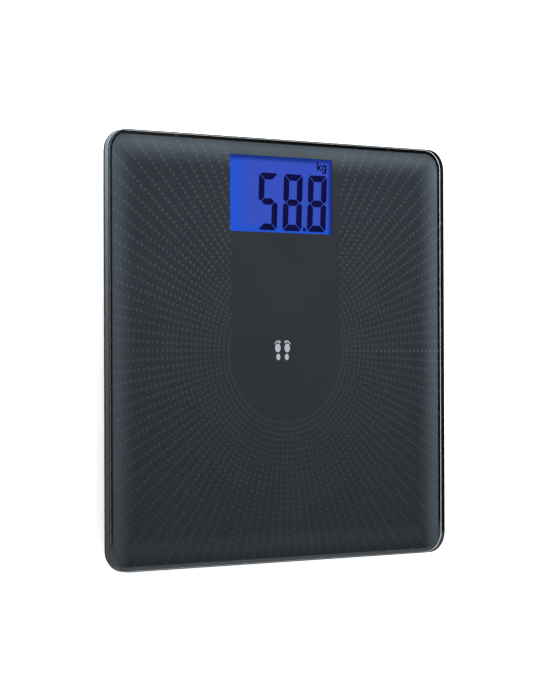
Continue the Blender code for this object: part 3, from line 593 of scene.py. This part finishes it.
def make_glass():
    """The tempered plate with its two arrises, and the ground band round its wall."""
    bm = slab(GLASS_LOW, GLASS_HIGH, CORNER_RADIUS, steps=24)
    round_edges(bm, ARRIS, 3, heights=(GLASS_LOW.z,))
    round_edges(bm, ARRIS, 5, heights=(GLASS_HIGH.z,))
    # A narrow flat margin keeps the arris's shading off the faces.
    flats = sorted(bm.faces, key=lambda face: face.calc_area())[-2:]
    bmesh.ops.inset_individual(bm, faces=flats, thickness=0.1)
    made = piece("glass_plate", bm, tempered_glass(), "platform", ("platform_glass",))
    made.visible_shadow = False
    made.visible_diffuse = False

    # The ground band is a skin just proud of the wall, between the two arrises.
    skin = Vector((CONTACT, CONTACT, -BAND_MARGIN))
    bm = bmesh.new()
    face = rounded_face(bm, GLASS_LOW - skin, GLASS_HIGH + skin, CORNER_RADIUS + CONTACT,
                        GLASS_LOW.z - skin.z, 24)
    pull(bm, [face], GLASS_HIGH.z - GLASS_LOW.z + 2 * skin.z)
    flat = [f for f in bm.faces if abs(f.normal.z) > 0.5 or len(f.verts) > 4]
    bmesh.ops.delete(bm, geom=flat, context="FACES_ONLY")
    bmesh.ops.solidify(bm, geom=bm.faces[:], thickness=CONTACT)
    piece("ground_band", bm, ground_edge(), "platform")


def make_print():
    """The print, keyed into the glass, with the display's window open in it."""
    edge = HALF - PRINT_MARGIN
    low = Vector((-edge, -edge, FILM_LOW.z))
    high = Vector((edge, edge, GLASS_LOW.z + CONTACT))
    bm = bmesh.new()
    outer = rounded_face(bm, low, high, CORNER_RADIUS - PRINT_MARGIN, low.z, 16)
    outline = list(outer.edges)
    bm.faces.remove(outer)
    window_low = (-WINDOW[0] / 2, WINDOW_Y - WINDOW[1] / 2)
    window_high = (WINDOW[0] / 2, WINDOW_Y + WINDOW[1] / 2)
    known = set(bm.verts)
    window = bmesh.new()
    rounded_face(window, window_low, window_high, 0.8, low.z, 4)
    join(bm, window)
    hole = [face for face in bm.faces if not known.intersection(face.verts)]
    inner = [side for face in hole for side in face.edges]
    bmesh.ops.delete(bm, geom=hole, context="FACES_ONLY")
    filled = bmesh.ops.triangle_fill(bm, edges=outline + inner, use_beauty=True)["geom"]
    faces = [item for item in filled if isinstance(item, bmesh.types.BMFace)]
    pull(bm, faces, high.z - low.z)
    backing = bm.copy()
    piece("print_layer", bm, screen_print(), "platform", ("print_film",))
    # The lacquer is the same shape, squeezed to a skin under the print.
    for vert in backing.verts:
        vert.co.z = low.z - (0.01 if vert.co.z > (low.z + high.z) / 2 else 0.04)
    piece("backing_skin", backing, backing_lacquer(), "platform")


def in_dotted_field(x, y):
    """True where the grip dots lie: inside the rim, and outside the plain lane."""
    if y > 0.0 and abs(x) < PLAIN_HALF:
        return False
    edge = HALF - DOT_MARGIN
    radius = CORNER_RADIUS - DOT_MARGIN
    reach = Vector((max(abs(x) - edge + radius, 0.0), max(abs(y) - edge + radius, 0.0)))
    return reach.length <= radius


def make_grip_dots():
    """Low clear domes on the glass, in rings. Each has eight sides and two tiers."""
    dots = bmesh.new()
    rings = int((math.hypot(HALF, HALF) - FIRST_RING) / RING_PITCH) + 1
    for ring in range(rings):
        radius = FIRST_RING + ring * RING_PITCH
        bm = bmesh.new()
        place = Matrix.Translation((radius, 0.0, GLASS_HIGH.z))
        rim = bmesh.ops.create_circle(
            bm, cap_ends=True, segments=8, radius=DOT_RADIUS, matrix=place)["verts"]
        face = rim[0].link_faces[0]
        for width, rise in ((0.3, 0.65), (0.35, 0.3)):
            bmesh.ops.inset_region(
                bm, faces=[face], thickness=width * DOT_RADIUS, depth=rise * DOT_HEIGHT)
        bmesh.ops.poke(bm, faces=[face])
        bmesh.ops.spin(
            bm, geom=bm.verts[:] + bm.edges[:] + bm.faces[:], cent=(0, 0, 0), axis=(0, 0, 1),
            angle=math.tau, steps=RAYS, use_duplicate=True,
        )
        unwanted = []
        for face in bm.faces:
            x, y, height = face.calc_center_median()
            angle = round(math.atan2(y, x) * RAYS / math.tau) * math.tau / RAYS
            if not in_dotted_field(radius * math.cos(angle), radius * math.sin(angle)):
                unwanted.append(face)
        bmesh.ops.delete(bm, geom=unwanted, context="FACES")
        join(dots, bm)
    bmesh.ops.remove_doubles(dots, verts=dots.verts, dist=1e-4)
    made = piece("grip_dots", dots, grip_resin(), "platform", sharp=80)
    made.visible_shadow = False


def make_step_mark():
    """Two plain footprints at the platform's centre, printed in light grey on the slate."""
    bm = bmesh.new()
    low = GLASS_LOW.z + CONTACT
    soles = ((0.0, 3.0, 2.5, 3.1), (-0.4, -3.4, 1.8, 2.3))
    toes = ((-1.7, 7.2, 0.85), (-0.3, 7.7, 0.65), (0.8, 7.5, 0.58), (1.8, 6.9, 0.52),
            (2.5, 6.0, 0.46))
    for sign in (-1, 1):
        marks = [(x, y, wide, tall) for x, y, wide, tall in soles]
        marks += [(x, y, radius, radius * 1.15) for x, y, radius in toes]
        for x, y, wide, tall in marks:
            place = Matrix.Translation((sign * (x + 4.2), y - 1.0, low))
            size = Matrix.Diagonal((wide, tall, 1.0, 1.0))
            disc = bmesh.ops.create_circle(
                bm, cap_ends=True, segments=24, radius=1.0, matrix=place @ size)["verts"]
            pull(bm, {f for v in disc for f in v.link_faces}, CONTACT)
    piece("step_mark", bm, step_ink(), "platform")


# --- Display --------------------------------------------------------------------------------


def segment_outlines():
    """Corner points of the seven segments, from the digit's top left, with y down."""
    width, height = DIGIT
    c, d = CHAMFER, SEGMENT_GAP
    w, t = STROKE
    h = height / 2
    inset, outset = (c - d) / 2, (c + d) / 2
    a = [(outset, inset), (c, 0), (width - c, 0), (width - outset, inset),
         (width - w - d, t), (w + d, t)]
    f = [(0, c), (inset, outset), (w, t + d), (w, h - t / 2 - d), (w / 2, h - d), (WAIST, h - d),
         (0, h - d - WAIST)]
    g = [(w / 2 + d, h), (w + d, h - t / 2), (width - w - d, h - t / 2), (width - w / 2 - d, h),
         (width - w - d, h + t / 2), (w + d, h + t / 2)]
    upside = [(x, height - y) for x, y in a]
    return {
        "a": a, "d": upside, "g": g, "f": f,
        "b": [(width - x, y) for x, y in f],
        "e": [(x, height - y) for x, y in f],
        "c": [(width - x, height - y) for x, y in f],
    }


def ink_patch(bm, points, base, rise, soften):
    """A thin flat patch with its corners rounded."""
    verts = [bm.verts.new((x, y, base)) for x, y in points]
    face = bm.faces.new(verts)
    if soften:
        before = set(bm.faces) - {face}
        bmesh.ops.bevel(
            bm, geom=verts, offset=soften, offset_type="OFFSET", segments=3,
            profile=0.5, affect="VERTICES", clamp_overlap=True, material=-1,
        )
        face = next(item for item in bm.faces if item not in before)
    pull(bm, [face], rise)


def letter_strokes():
    """The unit's letters as straight and curved strokes on a grid, y up from the base line."""
    bowl = [(7.0 + 1.75 * math.cos(math.radians(a)), 2.1 + 2.0 * math.sin(math.radians(a)))
            for a in range(0, 361, 30)]
    hook = [(5.5 + 1.6 + 1.6 * math.cos(math.radians(a)), -0.5 + 1.5 * math.sin(math.radians(a)))
            for a in range(-160, 1, 20)]
    return (
        [(0.5, 0.0), (0.5, 6.2)],
        [(0.6, 1.5), (3.6, 4.1)],
        [(1.5, 2.4), (3.9, 0.0)],
        bowl,
        [(8.75, 4.2), (8.75, -0.5), *hook[::-1]],
    )


def stroke_patches(bm, points, width, base, rise, move):
    """Draws a stroke as short patches with round joints."""
    for start, end in zip(points, points[1:]):
        a, b = Vector(start), Vector(end)
        way = (b - a).normalized() * width / 2
        side = Vector((-way.y, way.x))
        a, b = a - way * 0.3, b + way * 0.3
        corners = (a - side, b - side, b + side, a + side)
        ink_patch(bm, [tuple(p + move) for p in corners], base, rise, 0.0)


def make_display():
    """The lit panel, and the figures that it shows."""
    panel_low, panel_high = box_of("lcd_panel")
    bm = slab(panel_low, panel_high, 0.4, 2)
    round_edges(bm, 0.12, 1)
    piece("display_glass", bm, lit_display(), "platform", ("lcd_panel",))

    bm = bmesh.new()
    base = panel_high.z + 0.005
    outlines = segment_outlines()
    for left, lit in zip(DIGIT_X, LIT):
        for label in lit:
            upright = [(x, DIGIT[1] - y) for x, y in outlines[label]]
            points = [(left + x + y * SLANT, DIGIT_LOW_Y + y) for x, y in upright]
            ink_patch(bm, points, base, INK_RISE, DIGIT_CORNER)
    points = [(x, DIGIT_LOW_Y + y) for x, y in DECIMAL_POINT]
    ink_patch(bm, points, base, INK_RISE, 0.3)
    for stroke in letter_strokes():
        points = [Vector(point) * UNIT_SCALE for point in stroke]
        stroke_patches(bm, points, UNIT_STROKE, base, INK_RISE, Vector(UNIT_PLACE))
    piece("display_figures", bm, display_ink(), "platform")


# --- Underside ------------------------------------------------------------------------------


def ease_edges(node):
    """Breaks the sharp edges of a moulding by 0.25 mm, once its loose triangles are merged."""
    weld = node.modifiers.new("merge", "WELD")
    weld.merge_threshold = 0.01 * MM
    bevel = node.modifiers.new("broken_edges", "BEVEL")
    bevel.width = 0.25 * MM
    bevel.segments = 2
    bevel.limit_method = "ANGLE"
    bevel.angle_limit = math.radians(50)


def make_feet(shell, rubber):
    """Finer pods, cups and soles. The pod's wall is drawn plain where its lead comes out."""
    for corner in CORNERS:
        centre = centre_of(f"foot_pad_{corner}")
        at = (centre.x, centre.y, 0.0)
        pod_low, pod_high = box_of(f"foot_shell_{corner}")
        pod = (pod_high.x - pod_low.x) / 2
        foot_z, top_z = pod_low.z, pod_high.z
        profile = [
            (0.0, top_z), (pod - 0.3, top_z), (pod, top_z - 0.3), (pod, 9.0),
            (pod - 0.25, 7.4), (pod - 0.8, 6.2), (pod - 1.5, 5.3), (pod - 2.2, foot_z),
            (pod - 3.3, foot_z), (pod - 3.5, foot_z + 0.2), (pod - 3.5, foot_z + 1.2),
            (pod - 2.0, foot_z + 3.0), (pod - 2.0, 13.5), (15.0, 13.5), (15.0, 14.6), (0.0, 14.6),
        ]
        piece(f"pod_shell_{corner}", shift(turned(profile), at), shell, "platform",
              (f"foot_shell_{corner}",))

        cup_low, cup_high = box_of(f"foot_cup_{corner}")
        cup = (cup_high.x - cup_low.x) / 2
        pad_low, pad_high = box_of(f"foot_pad_{corner}")
        pad = (pad_high.x - pad_low.x) / 2
        recess, rim_z, head = pad + GAP, cup_low.z, cup_high.z - 0.4
        profile = [
            (0.0, pad_high.z + GAP), (recess, pad_high.z + GAP), (recess, rim_z + 0.2),
            (recess + 0.2, rim_z), (cup - 0.6, rim_z), (cup - 0.2, rim_z + 0.2),
            (cup, rim_z + 0.6), (cup, 4.8), (cup - 0.2, 5.2), (cup - 0.6, 5.4), (5.5, 5.4),
            (5.0, 5.9), (5.0, 9.9), (1.9, 9.9), (1.9, head), (3.1, head),
            (2.6, cup_high.z), (0.0, cup_high.z),
        ]
        piece(f"swivel_cup_{corner}", shift(turned(profile), at), shell, f"foot_{corner}",
              (f"foot_cup_{corner}",))

        tread = [(0.0, 0.45), (2.0, 0.45), (2.2, 0.0)]
        for ring in range(3):
            start = 2.2 + ring * 3.6
            tread += [(start + 2.6, 0.0), (start + 2.8, 0.45), (start + 3.4, 0.45),
                      (start + 3.6, 0.0)]
        tread += [(pad - 0.9, 0.0), (pad - 0.3, 0.3), (pad, 1.0), (pad, pad_high.z),
                  (0.0, pad_high.z)]
        piece(f"rubber_sole_{corner}", shift(turned(tread), at), rubber, f"foot_{corner}",
              (f"foot_pad_{corner}",))


def lead_route(corner):
    """Where a corner's lead runs, as its solid does: pod, print, and through the housing's wall."""
    centre = centre_of(f"foot_pad_{corner}")
    sign_x = math.copysign(1.0, centre.x)
    foot = Vector((centre.x, centre.y))
    turn = {"toe_left": 0.0, "toe_right": 180.0, "heel_left": 60.0, "heel_right": 120.0}[corner]
    way = Vector((math.cos(math.radians(turn)), math.sin(math.radians(turn))))
    start, mouth, run = (foot + way * reach for reach in (15.4, 24.6, 38.0))
    if centre.y > 0:
        rest = [(83.0, 116.0, 15.7), (74.0, 108.0, 15.2), (66.0, 104.3, 13.4),
                (59.6, 104.0, 13.4), (55.5, 104.0, 12.9), (52.6, 104.0, 11.8)]
    else:
        rest = [(80.0, -52.0, 16.3), (58.0, -14.0, 16.3), (41.5, 13.0, 16.3),
                (38.0, 23.5, 15.0), (38.0, 31.0, 13.4), (38.0, 39.4, 13.4),
                (38.0, 58.0, 12.8), (38.0, 76.8, 11.8)]
    route = [Vector((start.x, start.y, 14.7)), Vector((mouth.x, mouth.y, 14.7))]
    if centre.y < 0:
        route.append(Vector((run.x, run.y, 16.3)))
    return route + [Vector((sign_x * x, y, z)) for x, y, z in rest]


def smooth_route(points, steps):
    """Points along a Catmull-Rom curve through the given ones."""
    held = [points[0], *points, points[-1]]
    route = []
    for a, b, c, d in zip(held, held[1:], held[2:], held[3:]):
        for step in range(steps):
            t = step / steps
            square = (2 * a - 5 * b + 4 * c - d) * t**2
            cube = (3 * b - a - 3 * c + d) * t**3
            route.append((2 * b + (c - a) * t + square + cube) / 2)
    return [*route, points[-1]]


def wire(name, points, radius, material, body, stands_for, sides=3):
    """A round wire along points given in millimetres."""
    curve = bpy.data.curves.new(name, "CURVE")
    curve.dimensions = "3D"
    curve.bevel_depth = radius * MM
    curve.bevel_resolution = sides
    curve.use_fill_caps = True
    spline = curve.splines.new("POLY")
    spline.points.add(len(points) - 1)
    for spot, point in zip(spline.points, points):
        spot.co = (*(point * MM), 1.0)
    spline.use_smooth = True
    curve.materials.append(material)
    made = bpy.data.objects.new(name, curve)
    bpy.context.scene.collection.objects.link(made)
    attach(made, body)
    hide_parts(*stands_for)


def make_leads():
    """Three fine wires side by side in each lead, crossing over once every 40 mm."""
    colours = {
        "red": wire_sheath("red_pvc_extruded", "#a3241f", "#8c1e1b"),
        "white": wire_sheath("white_pvc_extruded", "#dcdbd6", "#c9c8c2"),
        "black": wire_sheath("black_pvc_extruded", "#1b1b1d", "#121214"),
    }
    spread, radius, crossing = 0.42, 0.36, 40.0
    for corner in CORNERS:
        route = smooth_route(lead_route(corner), 14)
        for index, (label, material) in enumerate(colours.items()):
            strand, run = [], 0.0
            for here, ahead in zip(route, [*route[1:], 2 * route[-1] - route[-2]]):
                way = (ahead - here).normalized()
                side = way.cross(Vector((0, 0, 1))).normalized()
                angle = math.tau * (run / crossing + index / len(colours))
                strand.append(here + (side * math.cos(angle) + side.cross(way) * math.sin(angle))
                              * spread)
                run += (ahead - here).length
            wire(f"lead_{corner}_{label}", strand, radius, material, "platform",
                 (f"sensor_lead_{corner}",))


def make_cells(nickel):
    """Cells with a crimped end, a stepped cap and their sleeve, and the coils they press on."""
    for number, plus_end in ((1, -1), (2, 1)):
        low, high = box_of(f"battery_{number}")
        centre = (low + high) / 2
        radius, length = (high.z - low.z) / 2, high.x - low.x
        profile = [
            (0.0, 0.0), (1.7, 0.0), (1.9, 0.2), (1.9, 1.0), (2.3, 1.15), (3.9, 1.0), (4.2, 0.75),
            (radius - 0.4, 0.75), (radius - 0.1, 0.95), (radius, 1.3), (radius, length - 0.7),
            (radius - 0.15, length - 0.3), (radius - 0.5, length - 0.05), (3.6, length - 0.15),
            (3.4, length - 0.3), (0.0, length - 0.3),
        ]
        bm = turned(profile, 64)
        lay = Matrix.Rotation(math.radians(-90 * plus_end), 4, "Y")
        bmesh.ops.transform(bm, matrix=lay, verts=bm.verts)
        end = high.x if plus_end > 0 else low.x
        shift(bm, (end, centre.y, centre.z))
        piece(f"cell_{number}", bm, battery_sleeve(plus_end), "platform",
              (f"battery_{number}",))

        low, high = box_of(f"contact_spring_{number}")
        # The coil tapers from its seat in the housing's wall towards the cell.
        turns, steps = 3.5, 150
        coil = []
        for step in range(steps + 1):
            share = step / steps
            angle = math.tau * turns * share
            wide = 4.2 - 1.8 * share
            start = low.x if plus_end > 0 else high.x
            x = start + plus_end * (0.4 + 5.0 * share)
            coil.append(Vector((x, centre.y + wide * math.cos(angle),
                                centre.z + wide * math.sin(angle))))
        wire(f"coil_{number}", coil, 0.35, nickel, "platform", (f"contact_spring_{number}",),
             sides=2)


def make_unit_button(shell):
    """The button under the scale, with a dished face for a fingertip."""
    low, high = box_of("unit_button")
    centre = (low + high) / 2
    flange = (high.x - low.x) / 2
    radius = flange - 1.3
    face = low.z
    profile = [
        (0.0, face + 0.5), (radius * 0.3, face + 0.45), (radius * 0.6, face + 0.25),
        (radius - 0.6, face + 0.05), (radius - 0.4, face), (radius - 0.1, face + 0.12),
        (radius, face + 0.4), (radius, 4.8), (flange, 4.8), (flange, 5.6), (1.5, 5.6),
        (1.5, high.z), (0.0, high.z),
    ]
    piece("unit_key", shift(turned(profile, 64), (centre.x, centre.y, 0.0)), shell,
          "unit_button", ("unit_button",))


def make_scale():
    """Every piece in its finish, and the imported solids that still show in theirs."""
    shell = moulded("black_abs_spark_eroded", "#17181a", "#1e2022", 0.48, 0.25, 0.03)
    white = moulded("white_abs_moulded", "#e6e5e0", "#efeeea", 0.42, 0.3, 0.02)
    rubber = moulded("grey_rubber_moulded", "#3a3a3c", "#48484a", 0.78, 0.35, 0.05)
    silicone = moulded("white_silicone_dispensed", "#dedcd6", "#eceae5", 0.55, 0.6, 0.08)
    resin = moulded("black_epoxy_dispensed", "#0e0e10", "#161618", 0.22, 1.5, 0.05)
    steel = drawn_metal("bright_steel_stamped", "#8d9196", "#b0b4b8", 0.32, (0.1, 1.0, 1.0))
    nickel = drawn_metal("nickel_plated_steel_drawn", "#bdbab2", "#d6d3cb", 0.24, (1.0, 1.0, 0.1))
    tape = foam_tape()
    finishes = {
        "housing": shell, "housing_tape": tape, "battery_door": shell, "foot_tape": tape,
        "lcd_holder": white, "backlight_guide": light_guide(), "backlight_led_board": white,
        "zebra_strip": layered_elastomer(), "circuit_board": circuit_laminate(),
        "controller_chip": resin, "board_screw": nickel, "switch_body": resin,
        "switch_plunger": white, "contact_plate": nickel, "load_cell": steel,
        "strain_gauge": silicone, "lead_clip": white,
    }
    make_glass()
    make_print()
    make_grip_dots()
    make_step_mark()
    make_display()
    make_feet(shell, rubber)
    make_leads()
    make_cells(nickel)
    make_unit_button(shell)
    for name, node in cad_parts.items():
        if not node.hide_render:
            # The longest key that fits is the right one: housing_tape also begins with housing.
            known = [key for key in finishes if name.startswith(key)]
            node.data.materials.clear()
            node.data.materials.append(finishes[max(known, key=len)])
    for name in ("housing", "battery_door"):
        ease_edges(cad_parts[name])


def set_studio():
    """The floor, the room's light and the camera."""
    bm = bmesh.new()
    bmesh.ops.create_grid(bm, x_segments=1, y_segments=1, size=6.0)
    mesh = bpy.data.meshes.new("studio_floor")
    bm.to_mesh(mesh)
    bm.free()
    mesh.materials.append(studio_paint())
    floor = bpy.data.objects.new("studio_floor", mesh)
    bpy.context.scene.collection.objects.link(floor)

    world = bpy.data.worlds.new("studio_room")
    bpy.context.scene.world = world
    world.use_nodes = True
    tree = world.node_tree
    way = add(tree, "TexCoord", {}, {}).node.outputs["Generated"]
    # A dark card stands where the glass would mirror the room, and ends at a white wall.
    facing = add(tree, "VectorMath", {"operation": "DOT_PRODUCT"}, {0: way, 1: CARD_WAY})
    near, far = (math.cos(math.radians(angle)) for angle in CARD_ANGLES)
    card = add(tree, "MapRange", SMOOTH, {0: facing, 1: far, 2: near})
    parts = add(tree, "SeparateXYZ", {}, {0: way}).node.outputs
    shade = add(tree, "MapRange", SMOOTH, {
        0: parts["Y"], 1: CARD_END[0], 2: CARD_END[1], 3: CARD_LEVEL, 4: WALL_LEVEL})
    level = add(tree, "Mix", {"data_type": "FLOAT"}, {0: card, 2: ROOM_LEVEL, 3: shade})
    feed(tree, tree.nodes["Background"], {"Color": "#fdfeff", "Strength": level})

    # A wide softbox past the toe side, and a small one that grazes the left wall from its toe end
    for name, width, power, place, aim in (
        ("toe_softbox", 0.7, 6.0, (0.1, 0.62, 0.55), (0.0, 0.1, 0.0)),
        ("left_wall_softbox", 0.06, 1.1, (-0.27, 0.23, 0.022), (-0.15, 0.1, 0.022)),
    ):
        lamp = bpy.data.lights.new(name, "AREA")
        lamp.shape = "RECTANGLE"
        lamp.size = width
        lamp.size_y = width / 2
        lamp.energy = power
        softbox = bpy.data.objects.new(name, lamp)
        bpy.context.scene.collection.objects.link(softbox)
        softbox.location = place
        throw = Vector(aim) - Vector(place)
        softbox.rotation_euler = throw.to_track_quat("-Z", "Y").to_euler()
        softbox.visible_camera = False
        softbox.visible_glossy = False
        softbox.visible_transmission = False

    lens = bpy.data.cameras.new("camera")
    lens.sensor_width = 36.0
    lens.lens = 122.3
    lens.clip_start = 0.05
    camera = bpy.data.objects.new("camera", lens)
    bpy.context.scene.collection.objects.link(camera)
    camera.location = (-1.038, -0.0099, 1.3582)
    camera.rotation_euler = [math.radians(angle) for angle in (0.498, -37.623, -0.237)]
    bpy.context.scene.camera = camera
    bpy.context.scene.view_settings.view_transform = "Standard"
    bpy.context.scene.view_settings.look = "None"


make_scale()
set_studio()
